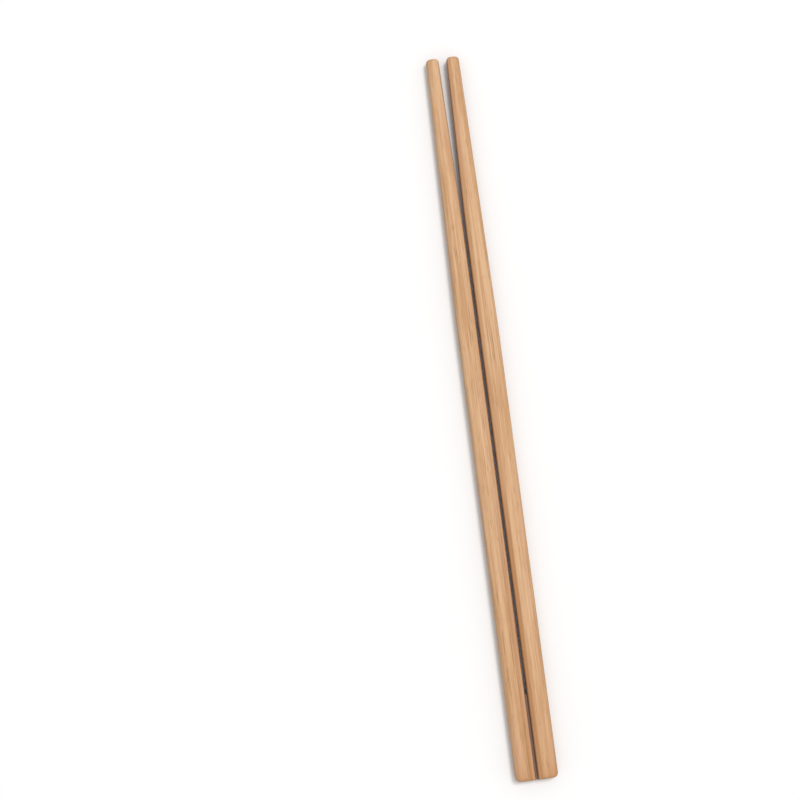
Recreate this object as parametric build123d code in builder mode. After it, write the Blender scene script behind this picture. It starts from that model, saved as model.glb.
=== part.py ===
from build123d import *
import os

# A pair of disposable bamboo chopsticks, milled from one blank, slit from the tips and
# still joined at the head. It lies flat: X across the pair, +Y towards the tips, +Z up,
# with the origin on the resting plane under the middle of the pair.

# Driving dimensions in millimetres.
pair_length = 203.0
head_width = 12.1          # across both sticks at the head
shoulder_width = 11.6      # across both sticks where the tips begin to taper
tip_width = 9.3            # across both sticks at the tips
thickness = 5.0
tip_thickness = 3.8
tip_taper_length = 74.0    # the tapered stretch, measured from the tips
slit_width = 0.65          # the saw cut between the sticks
tip_gap = 2.2              # clear gap between the tips
gap_taper_length = 45.0    # the stretch over which the slit opens into that gap
blend_radius = 800.0       # long arc that eases each taper into the body
outer_edge_radius = 1.8    # long edges on the outside of the pair
slit_edge_radius = 1.3     # long edges beside the slit
head_rim_radius = 1.3      # rim and corners of the head
tip_end_radius = 1.0       # rim of each eating tip
web_length = 24.0          # the stretch at the head that the slit leaves joined
web_thickness = 0.9        # wood left there between the upper and the lower groove

# Places that follow from them. The pair is symmetric, so widths become half widths.
head_y = -pair_length / 2
tip_y = pair_length / 2
shoulder_y = tip_y - tip_taper_length
gap_start_y = tip_y - gap_taper_length
head_half = head_width / 2
shoulder_half = shoulder_width / 2
tip_half = tip_width / 2
slit_half = slit_width / 2
tip_gap_half = tip_gap / 2
mid_height = thickness / 2
tip_top = mid_height + tip_thickness / 2
tip_bottom = mid_height - tip_thickness / 2
groove_centre_rise = web_thickness / 2 + slit_half

# The side view: level from head to shoulder, then thinning evenly from both faces.
with BuildSketch(Plane.YZ) as side_view:
    with BuildLine():
        upper = FilletPolyline(
            (head_y, thickness), (shoulder_y, thickness), (tip_y, tip_top), radius=blend_radius
        )
        lower = FilletPolyline(
            (head_y, 0), (shoulder_y, 0), (tip_y, tip_bottom), radius=blend_radius
        )
        Line(upper @ 0, lower @ 0)
        Line(upper @ 1, lower @ 1)
    make_face()

# Outer form of the right half of the blank, rounded before it is slit: first its outer
# long edges, then the rim of the head with its corner.
with BuildPart() as outer_form:
    with BuildSketch(Plane.XY):
        with BuildLine():
            outer_side = FilletPolyline(
                (head_half, head_y), (shoulder_half, shoulder_y), (tip_half, tip_y),
                radius=blend_radius,
            )
            Polyline(outer_side @ 1, (0, tip_y), (0, head_y), outer_side @ 0)
        make_face()
    extrude(amount=thickness)
    extrude(side_view.sketch, amount=head_width, mode=Mode.INTERSECT)
    side_edges = outer_form.faces().sort_by(Axis.X)[-1].edges().sort_by(Axis.Y)
    long_edges = side_edges[1:-1]
    fillet(long_edges, radius=outer_edge_radius)
    head_edges = outer_form.faces().sort_by(Axis.Y)[0].edges().sort_by(Axis.X)
    head_rim = head_edges[1:]
    fillet(head_rim, radius=head_rim_radius)

# Inner form of the right stick: the wall that faces the slit, with its long edges
# rounded straight through the head. Its outer side is left oversize.
with BuildPart() as inner_form:
    with BuildSketch(Plane.XY):
        with BuildLine():
            slit_wall = FilletPolyline(
                (slit_half, head_y), (slit_half, gap_start_y), (tip_gap_half, tip_y),
                radius=blend_radius,
            )
            Polyline(
                slit_wall @ 1, (head_width, tip_y), (head_width, head_y), slit_wall @ 0
            )
        make_face()
    extrude(amount=thickness)
    extrude(side_view.sketch, amount=head_width, mode=Mode.INTERSECT)
    slit_edges = inner_form.edges().filter_by(Axis.Y).group_by(Axis.X)[0]
    fillet(slit_edges, radius=slit_edge_radius)

# The pair as one solid: the wood that both forms share, its mirror image, and the web.
with BuildPart() as chopsticks:
    add(outer_form.part)
    add(inner_form.part, mode=Mode.INTERSECT)
    tip_face = chopsticks.faces().sort_by(Axis.Y)[-1]
    fillet(tip_face.edges(), radius=tip_end_radius)
    mirror(about=Plane.YZ)
    # Section of the web: each groove has a half-round floor as wide as the slit.
    with BuildSketch(Plane.XZ.offset(-head_y)):
        with Locations((0, mid_height)):
            Rectangle(slit_width, 2 * groove_centre_rise)
        with Locations(
            (0, mid_height + groove_centre_rise), (0, mid_height - groove_centre_rise)
        ):
            Circle(slit_half, mode=Mode.SUBTRACT)
    extrude(amount=-web_length)
chopsticks.part.label = "chopsticks"

os.makedirs("parts", exist_ok=True)
export_step(chopsticks.part, "parts/chopsticks.step")
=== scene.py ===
import math
import bpy
import numpy as np
from mathutils import Matrix, Vector


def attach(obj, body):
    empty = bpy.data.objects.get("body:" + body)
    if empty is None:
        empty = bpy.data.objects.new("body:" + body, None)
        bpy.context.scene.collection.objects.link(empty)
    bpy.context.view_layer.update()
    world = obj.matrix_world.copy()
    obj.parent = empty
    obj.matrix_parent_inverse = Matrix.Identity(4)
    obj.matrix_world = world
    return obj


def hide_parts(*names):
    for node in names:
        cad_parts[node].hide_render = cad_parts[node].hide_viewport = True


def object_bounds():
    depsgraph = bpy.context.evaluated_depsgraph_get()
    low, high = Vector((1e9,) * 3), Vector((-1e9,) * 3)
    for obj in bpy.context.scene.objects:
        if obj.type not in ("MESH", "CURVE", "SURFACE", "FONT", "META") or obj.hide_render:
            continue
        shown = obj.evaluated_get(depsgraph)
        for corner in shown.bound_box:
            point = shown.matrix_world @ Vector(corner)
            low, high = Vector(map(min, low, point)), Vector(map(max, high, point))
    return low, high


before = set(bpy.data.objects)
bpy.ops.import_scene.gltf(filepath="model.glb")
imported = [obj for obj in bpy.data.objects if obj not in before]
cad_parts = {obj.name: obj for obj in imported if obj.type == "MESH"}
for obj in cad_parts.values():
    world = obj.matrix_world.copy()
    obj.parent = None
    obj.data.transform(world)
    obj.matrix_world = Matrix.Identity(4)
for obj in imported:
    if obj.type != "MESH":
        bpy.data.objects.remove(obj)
cadLow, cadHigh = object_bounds()
mm = 0.001

# The pair of sticks, in millimetres. Lengths across it are halves, taken from its middle.
pairForm = {
    "headHalf": 6.05,       # outer side at the head
    "shoulderHalf": 5.8,    # outer side where the tips begin to taper
    "tipHalf": 4.65,        # outer side at the tips
    "tipThickness": 3.8,
    "tipTaper": 74.0,       # length of the tapered stretch
    "slitHalf": 0.325,      # wall of the slit
    "tipGapHalf": 1.1,      # wall of the gap at the tips
    "gapTaper": 45.0,       # length over which the slit opens
    "blendRadius": 800.0,   # long arcs between body and tapers
    "outerRadius": 1.8,     # long edges on the outside
    "slitRadius": 1.3,      # long edges beside the slit
    "headRadius": 1.3,      # rim of the head
    "tipRadius": 1.0,       # rim of each tip
    "webLength": 24.0,      # joined stretch at the head
    "webThickness": 0.9,
    "bodyStep": 0.66,       # spacing of the sections along the body
    "arcParts": 13,         # parts of the grid round one long edge
    "flatParts": 22,        # parts across the top or the underside
    "webParts": 8,          # parts across the floor of the groove
    "wallParts": 12,        # parts down the middle of a slit wall; an outer side has two more
    "rimParts": 9,          # sections over a rounded end
    "capParts": 7,          # rings of the flat end of a tip
    "weldParts": 1e5,       # points that agree to this part of a millimetre are made one
    "wander": 0.10,         # by how much sanding has widened the edges' rounding
    "wanderLength": 19.0,   # over what length that changes
    "outerPlace": 3.3,      # where in the noise the outer edges read it
    "slitPlace": 9.7,       # and where the edges beside the slit do
    "rightSeed": 5,
    "leftSeed": 6,
}

# Relief that sanding leaves on bamboo, in millimetres. It is only ever cut inwards.
reliefForm = {
    "fibreDepth": 0.026,
    "fibreSize": (0.30, 14.0),      # across and along the grain
    "fibreSeed": 41,
    "bandDepth": 0.050,
    "bandSize": (1.7, 55.0),
    "bandSeed": 51,
    "nickDepth": 0.09,
    "nickSize": (0.45, 3.2),
    "nickSeed": 61,
    "nickLevel": 0.80,              # noise level above which a nick is cut
}

noiseForm = {
    "cells": 32,                # cells after which the lattice repeats
    "shares": (0.65, 0.35),     # of the first and the second octave
    "finer": 2.03,              # scale of the second octave
    "shift": 7.1,
}


# A straight run, a tangent arc and a second straight run along three points, the arc
# cutting off the middle one. The offset from the first line is zero, then distance squared
# over twice the radius, then linear.
def blendedLine(along, start, corner, end, radius):
    firstSlope = (corner[1] - start[1]) / (corner[0] - start[0])
    secondSlope = (end[1] - corner[1]) / (end[0] - corner[0])
    bend = secondSlope - firstSlope
    halfArc = abs(bend) * radius / 2
    past = np.clip(along - (corner[0] - halfArc), 0, None)
    inArc = np.minimum(past, 2 * halfArc)
    rise = np.sign(bend) * inArc ** 2 / (2 * radius) + bend * (past - inArc)
    return start[1] + firstSlope * (along - start[0]) + rise


# Lattice noise: random values on whole numbers, blended between them with 3t^2 - 2t^3.
def latticeNoise(points, seed):
    cells = noiseForm["cells"]
    table = np.random.default_rng(seed).random((cells, cells, cells))
    cell = np.floor(points).astype(int)
    part = points - cell
    ease = part * part * (3 - 2 * part)
    total = np.zeros(len(points))
    for corner in np.ndindex(2, 2, 2):
        near = np.abs(1 - np.array(corner) - ease)
        weight = near[:, 0] * near[:, 1] * near[:, 2]
        row, column, layer = ((cell + corner) % cells).T
        total += weight * table[row, column, layer]
    return total


# Noise drawn out along the grain: two octaves of lattice noise on x / across, y / along
# and z / across.
def grainNoise(points, size, seed):
    coarse = points / np.array([size[0], size[1], size[0]])
    fine = coarse * noiseForm["finer"] + noiseForm["shift"]
    first, second = noiseForm["shares"]
    return first * latticeNoise(coarse, seed) + second * latticeNoise(fine, seed + 1)


# Wall of the slit: straight from the head, then opening evenly to the gap at the tips.
def slitWall(form, along, headY, tipY):
    return blendedLine(
        along, (headY, form["slitHalf"]), (tipY - form["gapTaper"], form["slitHalf"]),
        (tipY, form["tipGapHalf"]), form["blendRadius"],
    )


# Sections of one stick from head to tip, as a right stick. Each is a rounded rectangle
# given by its slit wall, outer side, top and edge radii. Over the head's rim the outside
# moves in by radius * (1 - sin) while the place moves by radius * (1 - cos); the edge
# beside the slit is cut off there, so it sweeps through less than a quarter. Over the
# tip's rim every side moves in by radius * (1 - cos).
def stickSections(form, low, high, seed):
    headY, tipY = low.y / mm, high.y / mm
    fullHeight = high.z / mm
    headRadius, tipRadius = form["headRadius"], form["tipRadius"]
    webEnd = headY + form["webLength"]
    rimAngle = np.linspace(0, math.pi / 2, form["rimParts"] + 1)
    bodyStart, bodyEnd = headY + headRadius, tipY - tipRadius
    webRows = round((webEnd - bodyStart) / form["bodyStep"])
    openRows = round((bodyEnd - webEnd) / form["bodyStep"])
    along = np.concatenate([
        headY + headRadius * (1 - np.cos(rimAngle)),
        np.linspace(bodyStart, webEnd, webRows + 1)[1:],
        np.linspace(webEnd, bodyEnd, openRows + 1)[1:],
        bodyEnd + tipRadius * np.sin(rimAngle[1:]),
    ])
    headInset, tipInset = np.zeros(len(along)), np.zeros(len(along))
    headInset[: len(rimAngle)] = headRadius * (1 - np.sin(rimAngle))
    tipInset[-form["rimParts"]:] = tipRadius * (1 - np.cos(rimAngle[1:]))
    inset = headInset + tipInset
    taperY = tipY - form["tipTaper"]
    held = np.clip(along, bodyStart, None)
    outer = blendedLine(
        held, (headY, form["headHalf"]), (taperY, form["shoulderHalf"]),
        (tipY, form["tipHalf"]), form["blendRadius"],
    )
    top = blendedLine(
        along, (headY, fullHeight), (taperY, fullHeight),
        (tipY, (fullHeight + form["tipThickness"]) / 2), form["blendRadius"],
    )
    spread = np.stack([along / form["wanderLength"], 0 * along, 0 * along], axis=1)
    fade = np.clip((tipY - along) / form["tipTaper"], 0, 1)
    outerWander = form["wander"] * fade * latticeNoise(spread + form["outerPlace"], seed)
    slitWander = form["wander"] * fade * latticeNoise(spread + form["slitPlace"], seed)
    slitRadius = form["slitRadius"] + slitWander - tipInset
    return {
        "y": along,
        "wall": slitWall(form, along, headY, tipY) + tipInset,
        "outer": outer - inset,
        "top": top - inset,
        "outerRadius": form["outerRadius"] + outerWander - inset,
        "slitRadius": slitRadius,
        "spring": top - tipInset - slitRadius,
        "sweep": np.arcsin(1 - headInset / slitRadius),
        "webRow": len(rimAngle) + webRows - 1,
        "middle": fullHeight / 2,
    }


# The same points mirrored in height: z becomes twice the middle's height less z.
def turnedOver(points, middle):
    return points * np.array([1, 1, -1]) + np.array([0, 0, 2 * middle])


# Skin of a stick: slit edge, top, outer edge and side down to mid height, then the same
# again turned over. The edge beside the slit is wall + radius * (1 - cos) across and
# spring + radius * sin up, and the outer edge is its centre plus radius * sin and
# radius * cos.
def skinGrid(sections, form):
    column = {name: rows[:, None] for name, rows in sections.items() if np.ndim(rows)}
    turn = np.linspace(0, 1, form["arcParts"] + 1)[None, :]
    span = np.linspace(0, 1, form["flatParts"] + 1)[None, 1:]
    drop = np.linspace(0, 1, form["wallParts"] // 2 + 2)[None, 1:]
    angle = turn * column["sweep"]
    slitX = column["wall"] + column["slitRadius"] * (1 - np.cos(angle))
    slitZ = column["spring"] + column["slitRadius"] * np.sin(angle)
    centreX = column["outer"] - column["outerRadius"]
    centreZ = column["top"] - column["outerRadius"]
    flatX = slitX[:, -1:] + span * (centreX - slitX[:, -1:])
    flatZ = column["top"] + 0 * flatX
    outerX = centreX + column["outerRadius"] * np.sin(turn[:, 1:] * math.pi / 2)
    outerZ = centreZ + column["outerRadius"] * np.cos(turn[:, 1:] * math.pi / 2)
    sideX = column["outer"] + 0 * drop
    sideZ = centreZ + drop * (sections["middle"] - centreZ)
    x = np.concatenate([slitX, flatX, outerX, sideX], axis=1)
    z = np.concatenate([slitZ, flatZ, outerZ, sideZ], axis=1)
    upper = np.stack([x, column["y"] + 0 * x, z], axis=2)
    lower = turnedOver(upper[:, -2::-1], sections["middle"])
    return np.concatenate([upper, lower], axis=1)


# Straight grid between two edges that have as many points each. The shares of the second
# edge are one per row, or one per row and column.
def ruledGrid(first, second, shares):
    shares = shares.reshape(len(shares), -1, 1)
    return first[None] * (1 - shares) + second[None] * shares


# Levels down a slit wall: one part beside each groove and even parts down the middle.
def wallShares(wallTop, grooveHeight, middle, parts):
    lead = (wallTop - grooveHeight) / (2 * (wallTop - middle))
    return np.concatenate([[0], np.linspace(lead, 1 - lead, parts + 1), [1]])


# Flat end of a tip: its outline drawn in towards the middle in even steps.
def endCap(outline, parts):
    centre = outline.mean(axis=0)
    share = np.linspace(1, 0, parts + 1)[:, None, None]
    return centre + (outline[None] - centre) * share


# Every patch of one stick, as a right stick: its skin, the open slit's wall, the strips of
# wall over and under the web, and both ends. Neighbouring patches share the points of
# their edges. Across the head's end the levels change evenly from those of the slit wall
# to the outer side's.
def stickPatches(sections, form, grooveZ):
    skin = skinGrid(sections, form)
    webRow, middle = sections["webRow"], sections["middle"]
    wallTop, wallBottom = skin[:, 0], skin[:, -1]
    shares = wallShares(wallTop[webRow, 2], grooveZ, middle, form["wallParts"])
    wall = np.swapaxes(ruledGrid(wallBottom, wallTop, shares), 0, 1)
    lip = wallTop[: webRow + 1].copy()
    lip[:, 2] = grooveZ
    lowerLip = turnedOver(lip, middle)
    across = np.linspace(0, 1, 2 * form["arcParts"] + form["flatParts"] + 1)
    shares = wallShares(wallTop[0, 2], grooveZ, middle, form["wallParts"])
    even = np.linspace(0, 1, len(shares))
    shares = np.outer(shares, 1 - across) + np.outer(even, across)
    upperEdge, lowerEdge = skin[0, : len(across)], skin[0, ::-1][: len(across)]
    tipOutline = np.concatenate([skin[-1], wall[-1][1:]])
    return [
        skin,
        wall[webRow:],
        np.stack([lip, wallTop[: webRow + 1]], axis=1),
        np.stack([wallBottom[: webRow + 1], lowerLip], axis=1),
        ruledGrid(lowerEdge, upperEdge, shares),
        endCap(tipOutline, form["capParts"]),
    ]


# Every patch of the pair's surface as (grid, flip): both sticks, the floors of the grooves
# and both ends of the web between them. A floor is a half circle across the slit.
def pairPatches(form, low, high):
    patches = []
    slitHalf = form["slitHalf"]
    for side, seed in ((1, form["rightSeed"]), (-1, form["leftSeed"])):
        sections = stickSections(form, low, high, seed)
        middle = sections["middle"]
        grooveZ = middle + form["webThickness"] / 2 + slitHalf
        for grid in stickPatches(sections, form, grooveZ):
            patches.append((grid * np.array([side, 1.0, 1.0]), side < 0))
    turn = np.linspace(0, math.pi, form["webParts"] + 1)[None, :]
    webY = sections["y"][: sections["webRow"] + 1, None]
    webX = slitHalf * np.cos(turn) + 0 * webY
    webZ = grooveZ - slitHalf * np.sin(turn) + 0 * webY
    webUpper = np.stack([webX, webY + 0 * webX, webZ], axis=2)
    webLower = turnedOver(webUpper, middle)
    even = np.linspace(0, 1, form["wallParts"] + 1)
    patches.append((webUpper, True))
    patches.append((webLower, False))
    patches.append((ruledGrid(webLower[-1], webUpper[-1], even), False))
    patches.append((ruledGrid(webLower[0], webUpper[0], even), True))
    return patches


# Faces of a grid as index quads, rows by columns.
def gridFaces(rows, columns, first):
    index = first + np.arange(rows * columns).reshape(rows, columns)
    return np.stack(
        [index[:-1, :-1], index[:-1, 1:], index[1:, 1:], index[1:, :-1]], axis=2
    ).reshape(-1, 4)


# One closed mesh from the patches. Points whose coordinates round to the same part of a
# millimetre are made one, quads that collapse at a pole become triangles and empty ones
# are dropped.
def weldPatches(patches, parts):
    points, quads, first = [], [], 0
    for grid, flip in patches:
        rows, columns = grid.shape[:2]
        faces = gridFaces(rows, columns, first)
        points.append(grid.reshape(-1, 3))
        quads.append(faces[:, ::-1] if flip else faces)
        first += rows * columns
    points, quads = np.concatenate(points), np.concatenate(quads)
    keys = np.round(points * parts).astype(np.int64)
    kept, merged = np.unique(keys, axis=0, return_index=True, return_inverse=True)[1:]
    points, quads = points[kept], merged.reshape(-1)[quads]
    fresh = quads != np.roll(quads, 1, axis=1)
    whole = quads[fresh.all(axis=1)]
    pinched = fresh.sum(axis=1) == 3
    triangles = quads[pinched][fresh[pinched]].reshape(-1, 3)
    return points, whole, triangles


# Point normals: the sum of the face normals around each point, made unit length.
def pointNormals(points, quads, triangles):
    normals = np.zeros_like(points)
    for corners in (quads[:, [0, 1, 2]], quads[:, [0, 2, 3]], triangles):
        a, b, c = (points[corners[:, k]] for k in range(3))
        facing = np.cross(b - a, c - a)
        for k in range(3):
            np.add.at(normals, corners[:, k], facing)
    return normals / np.maximum(np.linalg.norm(normals, axis=1, keepdims=True), 1e-12)


# Depth of the relief at each point: fine grooves and broad bands along the grain, plus
# short nicks where a third noise passes its level. End faces keep only the fine part.
def reliefDepth(points, normals, relief):
    fibre = grainNoise(points, relief["fibreSize"], relief["fibreSeed"])
    band = grainNoise(points, relief["bandSize"], relief["bandSeed"])
    nick = grainNoise(points, relief["nickSize"], relief["nickSeed"])
    nick = np.clip((nick - relief["nickLevel"]) / (1 - relief["nickLevel"]), 0, 1)
    lengthwise = 1 - np.abs(normals[:, 1])
    return (
        relief["fibreDepth"] * fibre
        + lengthwise * relief["bandDepth"] * band
        + lengthwise * relief["nickDepth"] * nick
    )


# Mesh and object from the welded points and faces, in metres and smooth shaded.
def makeMesh(name, points, quads, triangles):
    mesh = bpy.data.meshes.new(name)
    mesh.vertices.add(len(points))
    mesh.vertices.foreach_set("co", (points * mm).astype(np.float32).ravel())
    loops = np.concatenate([quads.ravel(), triangles.ravel()]).astype(np.int32)
    sizes = np.concatenate([np.full(len(quads), 4), np.full(len(triangles), 3)])
    starts = np.concatenate([[0], np.cumsum(sizes)[:-1]]).astype(np.int32)
    mesh.loops.add(len(loops))
    mesh.loops.foreach_set("vertex_index", loops)
    mesh.polygons.add(len(sizes))
    mesh.polygons.foreach_set("loop_start", starts)
    mesh.polygons.foreach_set("use_smooth", np.ones(len(sizes), dtype=bool))
    mesh.update(calc_edges=True)
    mesh.validate()
    piece = bpy.data.objects.new(name, mesh)
    bpy.context.scene.collection.objects.link(piece)
    return piece


# One value per point, under a name that the material reads.
def setValues(mesh, name, values):
    attribute = mesh.attributes.new(name, "FLOAT", "POINT")
    attribute.data.foreach_set("value", values.astype(np.float32))


# The pair's piece: welded patches moved inwards along their normals by the relief. It
# keeps how squarely each point faces an end, and its distance from the slit's wall in mm.
def buildPair(form, relief):
    patches = pairPatches(form, cadLow, cadHigh)
    points, quads, triangles = weldPatches(patches, form["weldParts"])
    normals = pointNormals(points, quads, triangles)
    wall = slitWall(form, points[:, 1], cadLow.y / mm, cadHigh.y / mm)
    fromSlit = np.abs(points[:, 0]) - wall
    points = points - normals * reliefDepth(points, normals, relief)[:, None]
    piece = makeMesh("bambooPair", points, quads, triangles)
    setValues(piece.data, "endFace", np.abs(normals[:, 1]))
    setValues(piece.data, "fromSlit", fromSlit)
    print("pair:", len(points), "points,", 2 * len(quads) + len(triangles), "triangles")
    return piece


# One socket of a shader tree. Arithmetic on it adds Math nodes, and any other node is
# made by node(): its settings first, then the values or links of its sockets.
class Shade:
    def __init__(self, tree, socket=None):
        self.tree = tree
        self.socket = socket

    def node(self, kind, settings, inputs, output=0):
        made = self.tree.nodes.new(kind)
        for name, value in settings.items():
            setattr(made, name, value)
        for name, value in inputs.items():
            if isinstance(value, Shade):
                self.tree.links.new(value.socket, made.inputs[name])
            else:
                made.inputs[name].default_value = value
        return Shade(self.tree, made.outputs[output] if made.outputs else None)

    # another output of the node that this socket belongs to
    def other(self, output):
        return Shade(self.tree, self.socket.node.outputs[output])

    def maths(self, operation, first, second):
        return self.node("ShaderNodeMath", {"operation": operation}, {0: first, 1: second})

    def __add__(self, other):
        return self.maths("ADD", self, other)

    def __radd__(self, other):
        return self.maths("ADD", other, self)

    def __sub__(self, other):
        return self.maths("SUBTRACT", self, other)

    def __rsub__(self, other):
        return self.maths("SUBTRACT", other, self)

    def __mul__(self, other):
        return self.maths("MULTIPLY", self, other)

    def __rmul__(self, other):
        return self.maths("MULTIPLY", other, self)

    def __truediv__(self, other):
        return self.maths("DIVIDE", self, other)

    def __rtruediv__(self, other):
        return self.maths("DIVIDE", other, self)

    # 0 at low, 1 at high, with soft ends; low may lie above high
    def ease(self, low, high):
        settings = {"interpolation_type": "SMOOTHSTEP"}
        inputs = {"Value": self, "From Min": low, "From Max": high}
        return self.node("ShaderNodeMapRange", settings, inputs)

    # first colour where the share is 0, second where it is 1; a Mix node takes the share
    # on socket 0 and the colours on 6 and 7, and gives the blend on 2
    def blend(self, first, second, share):
        settings = {"data_type": "RGBA"}
        return self.node("ShaderNodeMix", settings, {0: share, 6: first, 7: second}, 2)

    def times(self, scale):
        settings = {"operation": "MULTIPLY"}
        return self.node("ShaderNodeVectorMath", settings, {0: self, 1: scale})

    def plus(self, shift):
        settings = {"operation": "ADD"}
        return self.node("ShaderNodeVectorMath", settings, {0: self, 1: shift})


# An empty node tree of a material or a world, as a Shade to start from.
def emptyTree(owner):
    owner.use_nodes = True
    owner.node_tree.nodes.clear()
    return Shade(owner.node_tree)


# A screen colour of 0 to 255 as linear values: ((c + 0.055) / 1.055) ^ 2.4 above the toe.
def tint(red, green, blue):
    parts = []
    for level in (red, green, blue):
        share = level / 255
        toe = share / 12.92
        parts.append(toe if share <= 0.04045 else ((share + 0.055) / 1.055) ** 2.4)
    return (*parts, 1.0)


# Two numbers in brackets say where a mark begins to show and where it is full.
bambooFinish = {
    "pale": tint(229, 189, 148),
    "base": tint(217, 172, 128),
    "tan": tint(196, 145, 100),
    "rose": tint(219, 172, 143),
    "amber": tint(197, 141, 88),
    "bundle": tint(158, 108, 70),
    "pore": tint(118, 76, 46),
    # painted shade: the head is painted darker and browner towards its end
    "headShadeTone": tint(190, 134, 86),
    "lipToneAndShade": tint(184, 130, 84),      # darker wood beside the slit, plus painted shade on the right stick's side of it
    "slitShadeTone": tint(172, 124, 88),      # walls of the slit painted darker brown: painted shade in the slit
    "grooveShadeTone": tint(149, 121, 105),  # grooves at the head painted grey-brown: painted shade in them
    # noises: millimetres across and along the grain, detail and shift
    "grains": {
        "broad": (2.6, 60, 1.0, 0.0),
        "streak": (0.75, 30, 2.0, 3.1),
        "line": (0.32, 14, 2.0, 7.7),
        "fibre": (0.11, 5, 2.0, 12.3),
        "warm": (1.5, 45, 1.0, 21.9),
        "broken": (0.4, 7, 1.0, 43.3),
        "speck": (0.14, 4.6, 1.0, 31.7),
    },
    "grainRoughness": 0.55,
    "shiftAlong": 0.37,             # share of the shift that goes along the grain
    # ground of tan and pale streaks, then layers: noise, tone, levels and greatest share
    "streakLevels": (0.32, 0.68),
    "baseShare": 0.40,
    "layers": (
        ("broad", "rose", (0.52, 0.70), 0.45),
        ("warm", "amber", (0.56, 0.72), 0.40),
        ("line", "tan", (0.52, 0.68), 0.46),
        ("line", "pale", (0.46, 0.32), 0.42),
    ),
    # fibre bundles and the vessels in them, by pitches from a bundle's middle
    "bundlePitch": 0.62,            # millimetres from bundle to bundle
    "bundleScatter": 0.75,          # 0 for even rows, 1 for no order
    "bundleWander": 0.9,            # how far they wander along the stick, in pitches
    "wanderScale": (0.090, 0.014, 0.090),   # of the noise that moves them, per millimetre
    "bundleReach": (0.42, 0.22),
    "bundleLevels": (-0.2, 1.0),    # of a random level that each bundle has
    "bundleShare": 0.17,
    "bundleEndShare": 0.45,         # added to it on the ends
    "vesselReach": (0.15, 0.07),
    "vesselLevels": (0.46, 0.56),
    "vesselEndLevel": 0.6,          # added to their level on the ends
    "vesselShare": 0.40,
    "poreLevels": (0.67, 0.75),
    "poreEndLoss": 0.7,             # share of the pores that the ends lack
    "poreShare": 0.28,
    "endLevels": (0.55, 0.85),      # how squarely an end's faces look along the pair
    # painted shade: the head darker and browner towards its end and over its rounded rim;
    # then changes towards the head, by millimetres from the head's end
    "headShadeReach": (51.5, 3.5),
    "headShadeShare": 0.22,
    "headRimShadeReach": (5.5, 0.0),
    "headRimShadeShare": 0.3,
    "nearHeadReach": (91.5, 51.5),
    "grooveShadeReach": (31.5, 22.5),
    # marks along the slit, by millimetres from its wall
    "slitShadeReach": (0.2, 0.0),
    # painted highlight: the rounded rims beside the slit painted paler
    "rimLightInner": (0.15, 0.40),
    "rimLightOuter": (1.0, 0.6),
    "rimLightShare": 0.45,
    "rimLightHeadLoss": 0.2,
    "edgeReach": (1.9, 0.5),
    "edgeShare": 0.15,
    "edgeRightShadeShare": 0.55,         # added to it on the right stick: painted shade on its side away from the light
    "edgeRightHeadShadeShare": 0.1,      # and added there towards the head
    "bandInner": (0.3, 1.0),
    "bandOuter": (2.1, 1.2),
    "bandShare": 0.6,
    "bandRightLoss": 0.2,
    "lipLevel": 0.5,                # of edge and band where the warm noise is 0
    "rightReach": (-0.1, 0.1),      # by millimetres from the pair's middle
    # surface
    "roughness": 0.435,             # before its parts are added
    "roughnessParts": {"fibre": 0.25, "pore": 0.2, "bundle": -0.08},
    "specular": 0.28,
    "heightParts": {
        "fibre": 0.30, "line": 0.45, "streak": 0.25, "bundle": 0.2, "pore": -0.8,
        "vessel": -1.0,
    },
    "bumpHeight": 0.05,             # millimetres
}


# Noise drawn out along the grain: the place times 1 / (across, along, across).
def shadeGrain(place, size, finish):
    across, along, detail, shift = size
    scaled = place.times((1 / across, 1 / along, 1 / across))
    moved = scaled.plus((shift, shift * finish["shiftAlong"], -shift))
    inputs = {
        "Vector": moved, "Scale": 1.0, "Detail": detail,
        "Roughness": finish["grainRoughness"],
    }
    return place.node("ShaderNodeTexNoise", {"noise_dimensions": "3D"}, inputs)


# Fibre bundles: how far each point is from the middle of the nearest cell of a pattern in
# the cross section, in pitches, and a random level of that cell's own. The pattern is
# carried along the stick and moved a little by noise.
def bundleCells(place, x, z, finish):
    pitch, reach = finish["bundlePitch"], finish["bundleWander"]
    inputs = {"Vector": place.times(finish["wanderScale"]), "Scale": 1.0, "Detail": 1.0}
    settings = {"noise_dimensions": "3D"}
    wander = place.node("ShaderNodeTexNoise", settings, inputs, "Color")
    section = place.node("ShaderNodeCombineXYZ", {}, {"X": x / pitch, "Y": z / pitch})
    inputs = {
        "Vector": section.plus(wander.times((reach, reach, 0.0))), "Scale": 1.0,
        "Randomness": finish["bundleScatter"],
    }
    settings = {"voronoi_dimensions": "2D", "feature": "F1"}
    distance = place.node("ShaderNodeTexVoronoi", settings, inputs)
    inputs = {"Vector": distance.other("Color")}
    return distance, place.node("ShaderNodeSeparateXYZ", {}, inputs)
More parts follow.
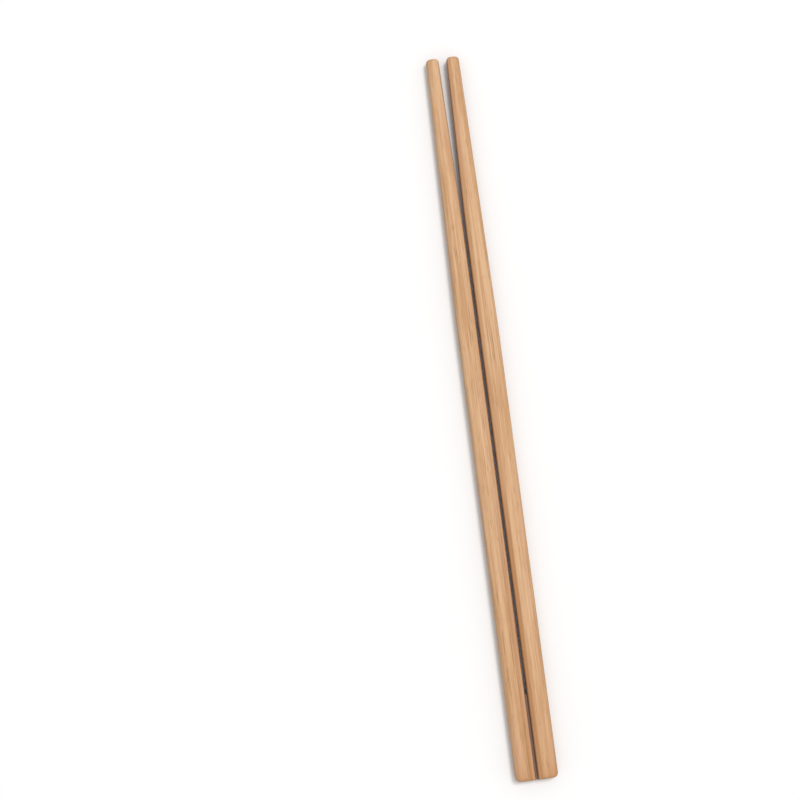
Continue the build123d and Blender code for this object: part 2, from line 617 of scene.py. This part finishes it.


# Tones and shares of the marks along the slit: the darker wood beside it, the rims painted
# pale beside it, a painted highlight on their rounding, and the walls painted browner and
# the grooves greyer, painted shade. The darker wood is all of the edge, most of all on the
# right stick, where the extra is painted shade on the side away from the light, and a band
# next to it towards the head.
def slitMarks(x, fromHead, onEnd, warm, finish):
    settings = {"attribute_name": "fromSlit"}
    fromSlit = x.node("ShaderNodeAttribute", settings, {}, "Fac")
    rightSide = x.ease(*finish["rightReach"])
    nearHead = fromHead.ease(*finish["nearHeadReach"])
    # the right stick's extra darkening is painted shade on its side away from the light
    right = rightSide * (finish["edgeRightShadeShare"] + nearHead * finish["edgeRightHeadShadeShare"])
    edge = fromSlit.ease(*finish["edgeReach"]) * (finish["edgeShare"] + right)
    band = fromSlit.ease(*finish["bandInner"]) * fromSlit.ease(*finish["bandOuter"])
    band = band * nearHead * (finish["bandShare"] - rightSide * finish["bandRightLoss"])
    lip = (edge + band) * (finish["lipLevel"] + warm)
    # painted highlight: the rounded rims beside the slit painted paler to lift their shade
    paintedRimLight = fromSlit.ease(*finish["rimLightInner"]) * fromSlit.ease(*finish["rimLightOuter"])
    paintedRimLight = paintedRimLight * (finish["rimLightShare"] - nearHead * finish["rimLightHeadLoss"])
    # painted shade: the slit's walls painted darker brown
    cut = fromSlit.ease(*finish["slitShadeReach"]) * (1 - onEnd)
    # painted shade: the grooves at the head painted grey-brown
    groove = cut * fromHead.ease(*finish["grooveShadeReach"])
    return (("lipToneAndShade", lip), ("pale", paintedRimLight), ("slitShadeTone", cut), ("grooveShadeTone", groove))


# A first value plus each mark times its part.
def sumMarks(first, marks, parts):
    total = first
    for name, part in parts.items():
        total = total + marks[name] * part
    return total


# Bamboo as a solid: fibre bundles show as lines on the sides and as dots on the ends, with
# thin open vessels in them that break off along the stick. Under them lie streaks of
# several widths, and over them short pores, a head painted browner as painted shade and
# the slit's marks, partly painted light and shade.
def bambooMaterial(finish):
    material = bpy.data.materials.new("steamedBamboo")
    shade = emptyTree(material)
    coords = shade.node("ShaderNodeTexCoord", {}, {}, "Object")
    place = coords.times((1 / mm, 1 / mm, 1 / mm))
    x = shade.node("ShaderNodeSeparateXYZ", {}, {"Vector": place})
    fromHead = x.other("Y") - cadLow.y / mm
    endFace = shade.node("ShaderNodeAttribute", {"attribute_name": "endFace"}, {}, "Fac")
    onEnd = endFace.ease(*finish["endLevels"])

    marks = {}
    for name, size in finish["grains"].items():
        marks[name] = shadeGrain(place, size, finish)
    distance, level = bundleCells(place, x, x.other("Z"), finish)
    bundle = distance.ease(*finish["bundleReach"]) * level.ease(*finish["bundleLevels"])
    unbroken = marks["broken"].ease(*finish["vesselLevels"])
    unbroken = unbroken + onEnd * finish["vesselEndLevel"]
    vessel = distance.ease(*finish["vesselReach"]) * unbroken
    pore = marks["speck"].ease(*finish["poreLevels"]) * (1 - onEnd * finish["poreEndLoss"])
    marks.update({"bundle": bundle, "vessel": vessel, "pore": pore})

    streaked = marks["streak"].ease(*finish["streakLevels"])
    colour = shade.blend(finish["tan"], finish["pale"], streaked)
    colour = shade.blend(colour, finish["base"], finish["baseShare"])
    for name, tone, levels, share in finish["layers"]:
        colour = shade.blend(colour, finish[tone], marks[name].ease(*levels) * share)
    # painted shade: darker towards the head's end and most over its rounded rim
    paintedHeadShade = fromHead.ease(*finish["headShadeReach"]) * finish["headShadeShare"]
    paintedHeadShade = paintedHeadShade + fromHead.ease(*finish["headRimShadeReach"]) * finish["headRimShadeShare"]
    for tone, share in (
        ("bundle", bundle * (finish["bundleShare"] + onEnd * finish["bundleEndShare"])),
        ("pore", vessel * finish["vesselShare"]),
        ("pore", pore * finish["poreShare"]),
        ("headShadeTone", paintedHeadShade),
        *slitMarks(x, fromHead, onEnd, marks["warm"], finish),
    ):
        colour = shade.blend(colour, finish[tone], share)

    bump = shade.node(
        "ShaderNodeBump", {},
        {
            "Strength": 1.0, "Distance": finish["bumpHeight"] * mm,
            "Height": sumMarks(0.0, marks, finish["heightParts"]),
        },
    )
    surface = shade.node(
        "ShaderNodeBsdfPrincipled", {},
        {
            "Base Color": colour, "Normal": bump,
            "Roughness": sumMarks(finish["roughness"], marks, finish["roughnessParts"]),
            "Specular IOR Level": finish["specular"],
        },
    )
    shade.node("ShaderNodeOutputMaterial", {}, {"Surface": surface})
    return material


# Places and sizes are in metres, those of the photo in pixels and the lens's in millimetres.
studio = {
    "photoCentre": (489.9, 418.9),  # where the pair's middle is
    "photoLength": 730.2,           # from tips to head
    "photoTilt": 7.51,              # degrees that the head leans to the right
    "frameSize": 800,               # width of the photo
    "lens": 85.0,
    "sensor": 36.0,
    "nearest": 0.01,                # from the camera, of what it shows
    "farthest": 10.0,
    "worldLevel": 0.60,             # share of the light that comes from all round
    "keyLevel": 0.43,               # share that the softbox adds on a level face
    "keySize": 1.4,
    "keyPlace": (1.30, 1.44, 4.80),
    "floorHalf": 3.0,               # from the floor's middle to its edges
    "floorBounce": 0.40,            # how pale the board is to rays that only light the pair
}


# The camera looks straight down. One pixel is the pair's length over its length in the
# photo, the view is as many pixels wide as the photo, and the distance is half that width
# over the tangent of half the view angle.
def placeCamera(values, low, high):
    pixel = (high.y - low.y) / values["photoLength"]
    tilt = math.radians(values["photoTilt"])
    right = Vector((math.cos(tilt), -math.sin(tilt), 0))
    up = Vector((math.sin(tilt), math.cos(tilt), 0))
    halfFrame = values["frameSize"] / 2
    offset = (halfFrame - values["photoCentre"][0]) * pixel * right
    offset += (values["photoCentre"][1] - halfFrame) * pixel * up
    distance = halfFrame * pixel * values["lens"] / (values["sensor"] / 2)
    camera = bpy.data.cameras.new("photoCamera")
    camera.lens = values["lens"]
    camera.sensor_width = values["sensor"]
    camera.clip_start = values["nearest"]
    camera.clip_end = values["farthest"]
    holder = bpy.data.objects.new("photoCamera", camera)
    bpy.context.scene.collection.objects.link(holder)
    middle = (low + high) / 2
    place = Vector((middle.x, middle.y, high.z)) + offset + Vector((0, 0, distance))
    facing = Matrix((right, up, Vector((0, 0, 1)))).transposed().to_4x4()
    holder.matrix_world = Matrix.Translation(place) @ facing
    bpy.context.scene.camera = holder


# 1 for rays that show the background, straight to the camera, mirrored or through glass:
# the highest of the three Light Path values. 0 for rays that only light the pair.
def backgroundSeen(shade):
    seen = shade.node("ShaderNodeLightPath", {}, {}, "Is Camera Ray")
    glossy, through = seen.other("Is Glossy Ray"), seen.other("Is Transmission Ray")
    return seen.maths("MAXIMUM", seen.maths("MAXIMUM", seen, glossy), through)


# A level face gets pi times the world's strength from all round. A lamp of power P at
# distance d and height h adds P * h / (pi * d^3), so P follows from the share wanted.
def placeLights(values):
    world = bpy.data.worlds.new("softRoom")
    bpy.context.scene.world = world
    shade = emptyTree(world)
    level = values["worldLevel"] + backgroundSeen(shade) * (1 - values["worldLevel"])
    backdrop = shade.node(
        "ShaderNodeBackground", {}, {"Color": (1, 1, 1, 1), "Strength": level}
    )
    shade.node("ShaderNodeOutputWorld", {}, {"Surface": backdrop})
    place = Vector(values["keyPlace"])
    lamp = bpy.data.lights.new("keySoftbox", "AREA")
    lamp.shape = "SQUARE"
    lamp.size = values["keySize"]
    lamp.energy = values["keyLevel"] * math.pi ** 2 * place.length ** 3 / place.z
    holder = bpy.data.objects.new("keySoftbox", lamp)
    bpy.context.scene.collection.objects.link(holder)
    holder.location = place
    holder.rotation_euler = place.to_track_quat("Z", "Y").to_euler()


# The floor is one square, white where it is seen and greyer where it only sends light on.
def placeFloor(values):
    edge, bounce = values["floorHalf"], values["floorBounce"]
    mesh = bpy.data.meshes.new("paleFloor")
    corners = [(-edge, -edge, 0), (edge, -edge, 0), (edge, edge, 0), (-edge, edge, 0)]
    mesh.from_pydata(corners, [], [(0, 1, 2, 3)])
    floor = bpy.data.objects.new("paleFloor", mesh)
    bpy.context.scene.collection.objects.link(floor)
    material = bpy.data.materials.new("paleBoard")
    shade = emptyTree(material)
    colour = shade.blend((bounce, bounce, bounce, 1), (1, 1, 1, 1), backgroundSeen(shade))
    surface = shade.node("ShaderNodeBsdfDiffuse", {}, {"Color": colour})
    shade.node("ShaderNodeOutputMaterial", {}, {"Surface": surface})
    mesh.materials.append(material)


placeCamera(studio, cadLow, cadHigh)
placeLights(studio)
placeFloor(studio)
print("camera, lights and floor placed")

pair = buildPair(pairForm, reliefForm)
pair.data.materials.append(bambooMaterial(bambooFinish))
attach(pair, "root")
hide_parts("chopsticks")
print("pair dressed")

bpy.context.scene.view_settings.view_transform = "Standard"
